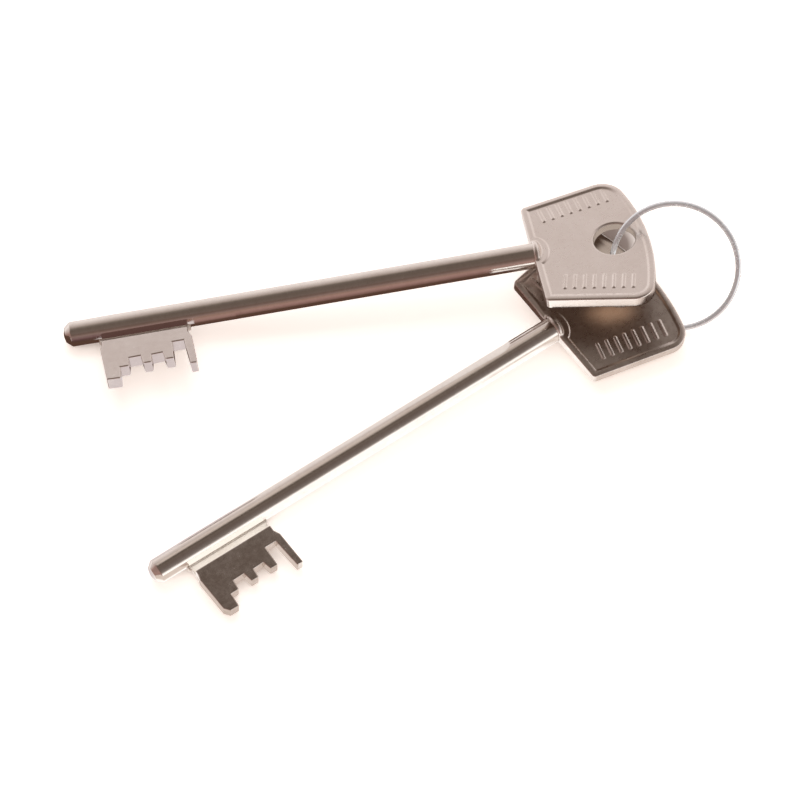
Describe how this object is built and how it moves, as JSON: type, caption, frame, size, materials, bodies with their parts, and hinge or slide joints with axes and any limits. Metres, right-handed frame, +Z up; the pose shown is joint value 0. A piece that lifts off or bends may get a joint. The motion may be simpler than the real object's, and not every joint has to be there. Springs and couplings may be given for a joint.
{
  "type": "safe lock key set",
  "caption": "Long-stemmed nickel-plated safe lock keys with flared ribbed bows and stepped flag bits, lying fanned out on a thin wire key ring.",
  "frame": {"origin": "on the surface the set lies on, under the middle of the set's box", "axes": "+Z up from the surface, X along the keys with the stem tips at -X and the ring at +X, +Y away from the front"},
  "size_m": [0.132, 0.0908, 0.0179],
  "materials": {
    "bow_nickel": "warm nickel plate over a die cast bow, soft edges, fine pitting",
    "stem_nickel": "warm nickel plate over a drawn steel rod, polished round, fine pits",
    "bit_nickel": "nickel plate over milled steel, satin",
    "braze": "silver braze fillet under the plating",
    "wire": "bright drawn wire"
  },
  "bodies": {
    "ring": {"wire_ring": "wire"},
    "key_1": {"key_1_bow": "bow_nickel", "key_1_stem": "stem_nickel", "key_1_bit": "bit_nickel", "key_1_braze": "braze"},
    "key_2": {"key_2_bow": "bow_nickel", "key_2_stem": "stem_nickel", "key_2_bit": "bit_nickel", "key_2_braze": "braze"}
  },
  "joints": [
    {"name": "key_1_fan", "type": "hinge", "parent": "ring", "child": "key_1", "pos_m": [0.04157, 0.0305, 0.01099], "axis": [-0.1104, 0.2214, 0.9689], "range_deg": [0, 120]},
    {"name": "key_2_fan", "type": "hinge", "parent": "ring", "child": "key_2", "pos_m": [0.04247, 0.02377, 0.00431], "axis": [0.0293, -0.0729, 0.9969], "range_deg": [-8, 8]}
  ]
}
